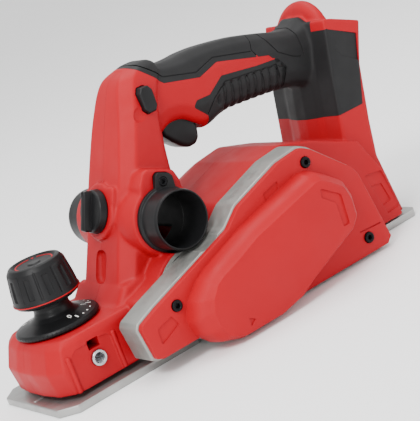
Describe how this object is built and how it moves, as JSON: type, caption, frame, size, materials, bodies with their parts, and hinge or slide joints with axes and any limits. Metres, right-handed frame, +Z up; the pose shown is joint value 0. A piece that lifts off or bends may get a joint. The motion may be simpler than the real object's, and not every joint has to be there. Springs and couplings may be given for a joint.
{
  "type": "electric hand planer",
  "caption": "Cordless hand planer with turning depth knob, lifting front shoe, belt-driven cutter drum, side chip outlets, squeeze trigger and a rear battery bay.",
  "frame": {"origin": "on the sole plane, at the middle of the sole's length and width", "axes": "+X to the heel, +Z up, -Y to the side that carries the belt cover"},
  "size_m": [0.3045, 0.142, 0.168],
  "materials": {
    "housing_red": "moulded glass-filled nylon, satin",
    "grip_black": "soft overmoulded rubber, matt",
    "black_plastic": "moulded nylon, satin",
    "trim_red": "red trim",
    "cast_silver": "die-cast, bead-blasted",
    "shoe_aluminium": "machined",
    "screw_black": "black oxide",
    "steel": "ground and plated",
    "blade_carbide": "ground cutting edge",
    "pulley_aluminium": "turned",
    "belt_rubber": "ribbed belt",
    "circuit_green": "lacquered board and heat sink",
    "contact_brass": "plated contacts"
  },
  "bodies": {
    "frame": {"left_housing": "housing_red", "right_housing": "housing_red", "belt_cover": "housing_red", "top_grip": "grip_black", "ribbed_grip": "grip_black", "rear_sleeve": "grip_black", "dust_port": "black_plastic", "far_outlet": "black_plastic", "switch_module": "black_plastic", "battery_rails": "black_plastic", "terminal_block": "black_plastic", "drum_housing": "cast_silver", "rear_shoe": "shoe_aluminium", "cover_screws": "screw_black", "housing_screws": "screw_black", "port_screw": "screw_black", "shoe_screws": "steel", "bearings": "steel", "detent_spring": "steel", "trigger_pin": "steel", "trigger_spring": "steel", "motor_stator": "steel", "near_fence_insert": "steel", "far_fence_insert": "steel", "drive_belt": "belt_rubber", "controller": "circuit_green", "contact_blades": "contact_brass"},
    "front_shoe": {"front_shoe": "shoe_aluminium"},
    "depth_knob": {"knob_dial": "black_plastic", "knob_grip": "black_plastic", "knob_ring": "trim_red", "depth_spindle": "steel"},
    "diverter": {"diverter_knob": "black_plastic", "diverter_flap": "black_plastic"},
    "trigger": {"trigger": "black_plastic"},
    "lock_off": {"lock_off_button": "black_plastic"},
    "cutter": {"cutter_drum": "shoe_aluminium", "blades": "blade_carbide", "blade_clamps": "steel", "blade_screws": "steel", "driven_pulley": "pulley_aluminium", "drum_nut": "steel"},
    "motor": {"motor_rotor": "steel", "motor_shaft": "steel", "cooling_fan": "black_plastic", "drive_pulley": "pulley_aluminium", "motor_nut": "steel"}
  },
  "joints": [
    {"name": "depth_turn", "type": "hinge", "parent": "frame", "child": "depth_knob", "pos_m": [-0.109, 0, 0.05], "axis": [0, 0, -1], "range_deg": [0, 340]},
    {"name": "shoe_lift", "type": "slide", "parent": "frame", "child": "front_shoe", "axis": [0, 0, 1], "range_m": [0, 0.002]},
    {"name": "diverter_turn", "type": "hinge", "parent": "frame", "child": "diverter", "pos_m": [-0.0535, 0, 0.0915], "axis": [-0.91, 0, 0.4147], "range_deg": [0, 90]},
    {"name": "trigger_squeeze", "type": "hinge", "parent": "frame", "child": "trigger", "pos_m": [0.005, 0, 0.127], "axis": [0, -1, 0], "range_deg": [0, 12], "stiffness_Nm_per_rad": 0.6, "deforming": ["trigger_spring"]},
    {"name": "lock_off_press", "type": "slide", "parent": "frame", "child": "lock_off", "axis": [0, 1, 0], "range_m": [-0.003, 0.003], "stiffness_N_per_m": 400},
    {"name": "cutter_spin", "type": "hinge", "parent": "frame", "child": "cutter", "pos_m": [-0.032, 0, 0.028], "axis": [0, 1, 0], "continuous": true},
    {"name": "motor_spin", "type": "hinge", "parent": "frame", "child": "motor", "pos_m": [0.044, 0, 0.052], "axis": [0, 1, 0], "continuous": true}
  ],
  "couplings": [
    {"joint": "shoe_lift", "follows": "depth_turn", "m_per_rad": 0.000337},
    {"joint": "motor_spin", "follows": "cutter_spin", "ratio": 1.8235}
  ]
}
